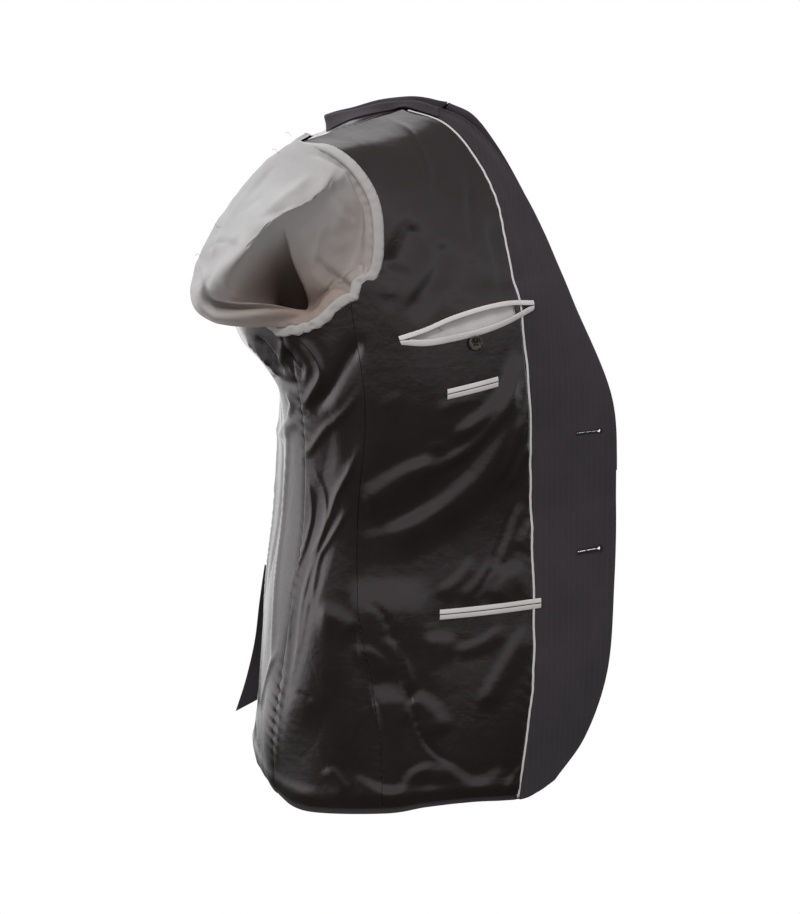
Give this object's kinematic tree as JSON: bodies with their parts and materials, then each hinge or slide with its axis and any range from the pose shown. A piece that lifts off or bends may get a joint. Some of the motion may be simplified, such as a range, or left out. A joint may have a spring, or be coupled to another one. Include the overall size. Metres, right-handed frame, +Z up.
{
  "type": "suit jacket turned inside out",
  "caption": "Single-breasted suit jacket turned inside out, dark satin lining outward, sleeves hanging inside, hollow as worn with its front open.",
  "frame": {"origin": "middle of the neck at the height of the shoulder points, where the wearer's neck and shoulders hold the jacket", "axes": "+Z up along the length, +X towards the open front edges, -Y towards the side of the garment's left front, the one with the buttonholes"},
  "size_m": [0.44, 0.468, 0.7361],
  "materials": {
    "lining_satin": "satin weave, near-black",
    "wool": "charcoal worsted with a faint tone-on-tone pinstripe",
    "grey_satin": "light grey satin",
    "horn": "polished dark brown horn look"
  },
  "bodies": {
    "root": {"back_lining_left": "lining_satin", "side_lining_left": "lining_satin", "front_lining_left": "lining_satin", "facing_left": "wool", "back_shell_left": "wool", "side_shell_left": "wool", "front_shell_left": "wool", "sleeve_shell_left": "wool", "piping_left": "grey_satin", "sleeve_lining_left": "grey_satin", "armhole_band_left": "grey_satin", "back_lining_right": "lining_satin", "side_lining_right": "lining_satin", "front_lining_right": "lining_satin", "facing_right": "wool", "back_shell_right": "wool", "side_shell_right": "wool", "front_shell_right": "wool", "sleeve_shell_right": "wool", "piping_right": "grey_satin", "sleeve_lining_right": "grey_satin", "armhole_band_right": "grey_satin", "collar": "wool", "vent_facing_right": "wool", "breast_pocket_welt_upper": "grey_satin", "breast_pocket_welt_lower": "grey_satin", "breast_pocket_bag": "grey_satin", "pen_pocket_jet_upper": "grey_satin", "pen_pocket_jet_lower": "grey_satin", "ticket_pocket_jet_upper": "grey_satin", "ticket_pocket_jet_lower": "grey_satin", "pocket_button": "horn", "front_button_1": "horn", "front_button_2": "horn"}
  },
  "joints": []
}
